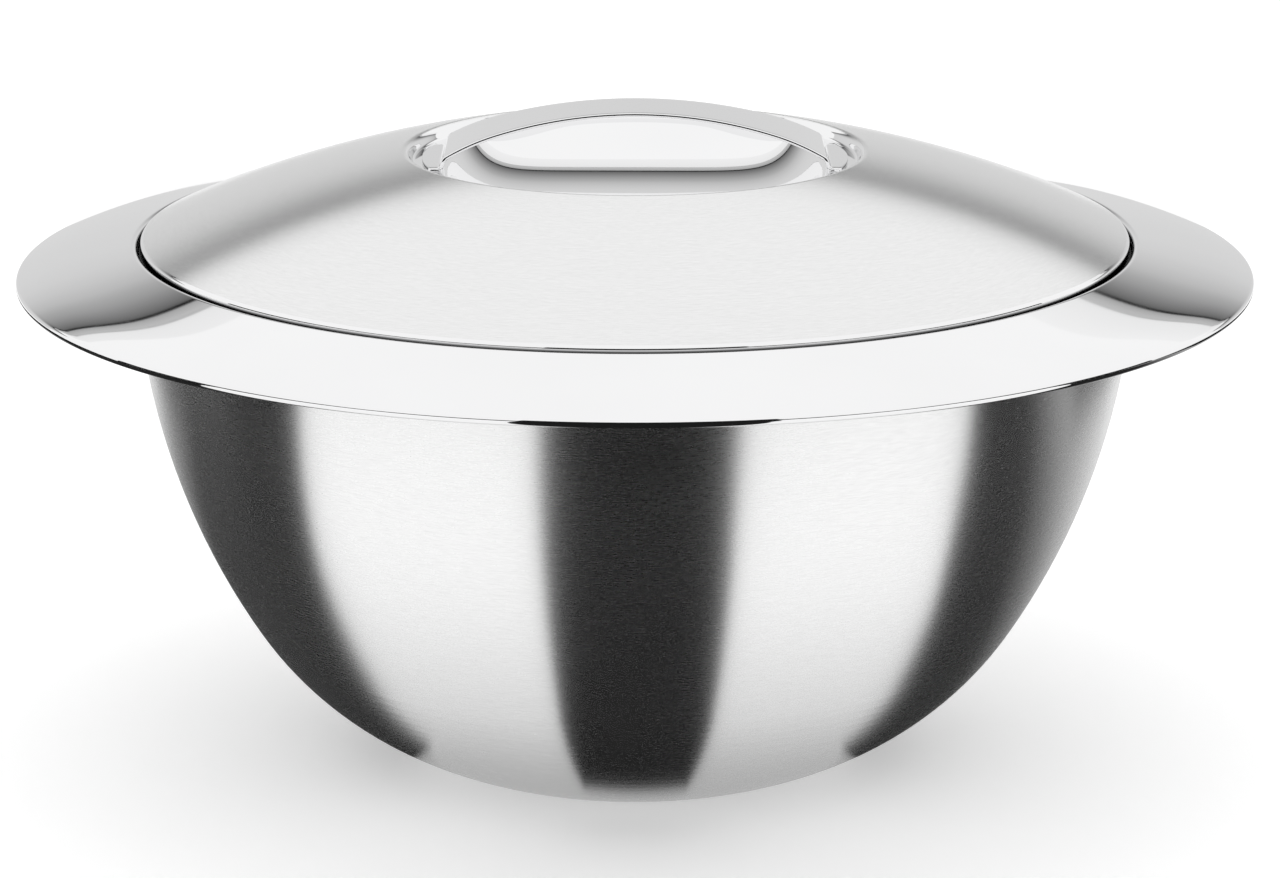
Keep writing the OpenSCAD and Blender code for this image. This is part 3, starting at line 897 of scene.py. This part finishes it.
class BOWL_OT_lid_liner(bpy.types.Operator):
    """Lid's bottom sheet with its locating skirt"""

    bl_idname = "serving_bowl.lid_liner"
    bl_label = "Lid Liner"

    def execute(self, context):
        finish = context.scene.steel_finishes
        satin = satin_steel("Brushed liner", finish.inside_colour, 0.34, anisotropy=0.5, rise=-1.0)
        pressed("lid_bottom_sheet", liner_rows, satin, satin, "lid", "lid_liner", "liner_steel")
        return {"FINISHED"}


class BOWL_OT_strap(bpy.types.Operator):
    """Strap handle bent from one polished strip, with two rounded feet"""

    bl_idname = "serving_bowl.strap"
    bl_label = "Strap Handle"

    def execute(self, context):
        scene = context.scene
        mesh = strap_mesh(scene, plan(scene))
        pointed_outwards(mesh)
        mesh.shade_smooth()
        mesh.materials.append(bright_steel("Polished strap", scene.steel_finishes.bright_colour, 0.04, 0.08))
        place(added("strap_handle", mesh), "lid", "lid_handle", "handle_steel")
        return {"FINISHED"}


class BOWL_OT_hidden_pieces(bpy.types.Operator):
    """Insulation ring of the lid, and finishes of the base disc and the bowl's insulation"""

    bl_idname = "serving_bowl.hidden_pieces"
    bl_label = "Hidden Pieces"

    def execute(self, context):
        finish = context.scene.steel_finishes
        foam = moulded_foam("Moulded foam", finish.foam_colour)
        disc = stamped_steel("Stamped disc", finish.base_colour)
        pressed("lid_foam_ring", lid_foam_rows, foam, foam, "lid", "lid_insulation", "foam")
        for node, material in (("bowl_insulation", foam), ("base_disc", disc)):
            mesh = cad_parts[node].data
            mesh.materials.clear()
            mesh.materials.append(material)
        return {"FINISHED"}


# The studio: floor, light, camera, and cards that only the steel sees

FLOOR_HALF = 12
LAMP_SIZE, LAMP_HEIGHT = 1.6, 2
CAMERA_GLOW, MIRROR_GLOW = 0.28, 0.12

# Where the standing cards end: to the sides, towards the camera and away from it, and at their tops
NEAR_LEFT, NEAR_RIGHT, SIDE_END, BACK_SIDE = -0.56, 0.72, 1.7, 2.6
NEAR_END, SIDE_FAR_END = -1.6, 0.3
LOW_TOP, NEAR_TOP, BACK_TOP = 0.4, 0.9, 1.3

# The far cards on the floor, from x to x and from y to y, and the round card of painted shadow round the
# bowl's base
FAR_IN, FAR_OUT, FAR_START, FAR_END = 0.32, 1.6, 0.1, 0.55
ROUND_CARD, ROUND_CORNERS = 0.45, 48
# Heights that keep these cards apart
CARD_HEIGHT, FAR_HEIGHT, ROUND_HEIGHT = 0.001, 0.002, 0.0005

# Outlines of the cards that lie on the floor
CAMERA_SIDE = (
    (-0.014, -0.07), (-0.31, -0.9), (-0.56, -1.6), (0.7, -1.6), (0.385, -0.9), (0.2, -0.5), (0.12, -0.345),
    (0.014, -0.07))
LEFT_SIDE = (
    (-0.06, -0.059), (-0.167, -0.077), (-0.268, -0.104), (-0.34, -0.125), (-1.6, -0.45), (-1.6, 0.4),
    (-0.06, 0.4))
RIGHT_SIDE = (
    (0.06, -0.056), (0.14, -0.074), (0.2, -0.094), (0.3, -0.115), (0.5, -0.16), (1.6, -0.45), (1.6, 0.4),
    (0.06, 0.4))

# Fades: direction or none for outwards, where the fade starts and ends, and (place from 0 to 1, grey level)
# The round card's fade is painted shadow: darker towards the bowl's base, where the steel mirrors the floor
FLOOR_SHADOW_FADE = None, 0, 0.25, (
    (0.2, 0.42), (0.32, 0.47), (0.38, 0.57), (0.45, 0.73), (0.5, 0.78), (0.58, 0.87), (0.68, 0.95), (0.8, 1))
LEFT_FADE = (0, 1, 0), -0.3, 0.4, ((0, 0.006), (0.57, 0.025), (0.7, 0.27), (0.85, 0.72), (1, 0.95))
RIGHT_FADE = (0, 1, 0), -0.3, 0.4, (
    (0, 0.006), (0.42, 0.02), (0.48, 0.16), (0.55, 0.38), (0.65, 0.6), (0.8, 0.85), (1, 0.95))
BACK_FADE = (0.073, 0, 1), 0.13, 1.342, (
    (0, 0.72), (0.3, 0.7), (0.4, 0.67), (0.48, 0.61), (0.55, 0.53), (0.6, 0.43), (0.65, 0.35), (0.7, 0.25),
    (0.74, 0.17), (0.757, 0.12), (0.761, 0), (0.772, 0), (0.777, 0.42), (0.82, 0.55), (0.828, 0.42),
    (0.835, 0.88), (1, 0.95))
SIDES = ("left", -1, LEFT_SIDE, LEFT_FADE), ("right", 1, RIGHT_SIDE, RIGHT_FADE)


def lying(corners, height=CARD_HEIGHT):
    return [(x, y, height) for x, y in corners]


def upright(x, y, end_x, end_y, top):
    return [(x, y, 0), (end_x, end_y, 0), (end_x, end_y, top), (x, y, top)]


def one_face(name, corners, material):
    mesh = bpy.data.meshes.new(name)
    mesh.from_pydata(corners, [], [tuple(range(len(corners)))])
    mesh.materials.append(material)
    return added(name, mesh)


def card(name, corners, material):
    """A flat card that only mirrored rays see."""
    obj = one_face(name, corners, material)
    obj.visible_camera = obj.visible_diffuse = obj.visible_shadow = obj.visible_transmission = False


def glow_material(name, grey=0.0, fade=None):
    """A card's glow: one grey, or a fade."""
    material, tree, _ = new_material(name)
    tree.nodes.clear()
    tone = gradient(tree, *fade) if fade else (grey, grey, grey, 1)
    glow = fed(tree, "ShaderNodeEmission", {"Color": tone})
    fed(tree, "ShaderNodeOutputMaterial", {"Surface": glow.outputs[0]})
    return material


def gradient(tree, direction, low, high, stops):
    """Grey levels along a direction of the card, or out from its middle."""
    kind = "DOT_PRODUCT" if direction else "LENGTH"
    along = fed(tree, "ShaderNodeVectorMath", (object_place(tree),), operation=kind)
    if direction:
        along.inputs[1].default_value = direction
    ramp = fed(tree, "ShaderNodeValToRGB", {"Fac": ranged(tree, along.outputs["Value"], low, high, 0, 1)})
    elements = ramp.color_ramp.elements
    for where, _ in stops[2:]:
        elements.new(where)
    for element, (where, grey) in zip(elements, stops):
        element.position, element.color = where, (grey, grey, grey, 1)
    return ramp.outputs["Color"]


def floor_material(rgb):
    """A matt floor that glows a little for the camera, and less in the steel."""
    material, tree, surface = new_material("Pale floor")
    tree.nodes.remove(surface)
    matt = fed(tree, "ShaderNodeBsdfDiffuse", {"Color": (*rgb, 1)})
    path = tree.nodes.new("ShaderNodeLightPath").outputs
    mirrored = math_node(tree, "MAXIMUM", path["Is Glossy Ray"], path["Is Transmission Ray"])
    glow = fed(tree, "ShaderNodeEmission", {"Strength": math_node(
        tree, "ADD", math_node(tree, "MULTIPLY", path["Is Camera Ray"], CAMERA_GLOW),
        math_node(tree, "MULTIPLY", mirrored, MIRROR_GLOW))})
    both = fed(tree, "ShaderNodeAddShader", (matt.outputs[0], glow.outputs[0]))
    link(tree, both.outputs[0], tree.nodes["Material Output"].inputs["Surface"])
    return material


class BOWL_OT_studio(bpy.types.Operator):
    """Pale floor, soft light, the camera, and the cards that the steel mirrors"""

    bl_idname = "serving_bowl.studio"
    bl_label = "Studio"

    def execute(self, context):
        scene, studio = context.scene, context.scene.studio_settings
        half = FLOOR_HALF
        corners = (-half, -half), (half, -half), (half, half), (-half, half)
        floor = one_face("pale_floor", lying(corners, 0), floor_material(studio.floor_colour))
        self.light(scene, studio)
        self.cards(studio)
        camera = added("camera", bpy.data.cameras.new("camera"))
        camera.location = studio.camera_place
        toward = Vector(studio.camera_target) - Vector(studio.camera_place)
        camera.rotation_euler = toward.to_track_quat("-Z", "Y").to_euler()
        camera.data.lens, camera.data.sensor_width, camera.data.clip_end = studio.lens, 36, 100
        scene.camera = camera
        scene.view_settings.view_transform = "Standard"
        return {"FINISHED"}

    def light(self, scene, studio):
        world = bpy.data.worlds.new("white_room")
        world.use_nodes = True
        sky = world.node_tree.nodes["Background"].inputs
        sky["Color"].default_value, sky["Strength"].default_value = (1, 1, 1, 1), 1
        scene.world = world
        lamp = bpy.data.lights.new("soft_lamp", "AREA")
        lamp.energy, lamp.size = studio.lamp_power, LAMP_SIZE
        obj = added("soft_lamp", lamp)
        obj.location = (0, 0, LAMP_HEIGHT)
        obj.visible_glossy = False

    def cards(self, studio):
        dark = glow_material("Dark card", grey=0.012)
        card("camera_side_floor_card", lying(CAMERA_SIDE), dark)
        card("camera_side_card", upright(NEAR_LEFT, NEAR_END, NEAR_RIGHT, NEAR_END, NEAR_TOP), dark)
        for name, side, _, _ in SIDES:
            inner, outer = -side * NEAR_LEFT, side * SIDE_END
            card(name + "_front_card", upright(inner, NEAR_END, outer, NEAR_END, LOW_TOP), dark)
            card(name + "_side_card", upright(outer, NEAR_END, outer, SIDE_FAR_END, LOW_TOP), dark)
            inner, outer = side * FAR_IN, side * FAR_OUT
            corners = (inner, FAR_START), (outer, FAR_START), (outer, FAR_END), (inner, FAR_END)
            card(name + "_far_floor_card", lying(corners, FAR_HEIGHT), dark)
        ring = arc([0, 0], ROUND_CARD, 0, 2 * math.pi, ROUND_CORNERS)[:-1]
        # Painted shadow of the bowl on the floor, seen only in the steel
        card("painted_floor_shadow_card", lying(ring, ROUND_HEIGHT), glow_material("Painted floor shadow", fade=FLOOR_SHADOW_FADE))
        for name, _, outline, fade in SIDES:
            card(name + "_floor_card", lying(outline), glow_material(name.title() + " fade", fade=fade))
        y = studio.back_distance
        card("back_card", upright(-BACK_SIDE, y, BACK_SIDE, y, BACK_TOP),
             glow_material("Back fade", fade=BACK_FADE))


PIECES = (
    BOWL_OT_outer_bowl, BOWL_OT_inner_bowl, BOWL_OT_lid_cover, BOWL_OT_lid_liner, BOWL_OT_strap,
    BOWL_OT_hidden_pieces, BOWL_OT_studio)
GROUPS = {
    "bowl_sizes": BowlSizes, "brim_sizes": BrimSizes, "lid_sizes": LidSizes, "recess_sizes": RecessSizes,
    "strap_sizes": StrapSizes, "steel_finishes": SteelFinishes, "studio_settings": StudioSettings}


class BOWL_PT_sidebar(bpy.types.Panel):
    """Sizes, finishes and one button for each piece"""

    bl_idname = "BOWL_PT_sidebar"
    bl_label = "Insulated Serving Bowl"
    bl_space_type = "VIEW_3D"
    bl_region_type = "UI"
    bl_category = "Bowl"

    def draw(self, context):
        for piece in PIECES:
            self.layout.operator(piece.bl_idname)
        for name, group in GROUPS.items():
            box = self.layout.box()
            box.label(text=group.__doc__)
            for title in group.__annotations__:
                box.prop(getattr(context.scene, name), title)


def register():
    for name, group in GROUPS.items():
        bpy.utils.register_class(group)
        setattr(bpy.types.Scene, name, bpy.props.PointerProperty(type=group))
    for piece in (*PIECES, BOWL_PT_sidebar):
        bpy.utils.register_class(piece)


def unregister():
    for piece in reversed((*PIECES, BOWL_PT_sidebar)):
        bpy.utils.unregister_class(piece)
    for name, group in GROUPS.items():
        delattr(bpy.types.Scene, name)
        bpy.utils.unregister_class(group)


def main():
    register()
    for make in (bpy.ops.serving_bowl.outer_bowl, bpy.ops.serving_bowl.inner_bowl,
                 bpy.ops.serving_bowl.lid_cover, bpy.ops.serving_bowl.lid_liner, bpy.ops.serving_bowl.strap,
                 bpy.ops.serving_bowl.hidden_pieces, bpy.ops.serving_bowl.studio):
        make()


if __name__ == "__main__":
    main()
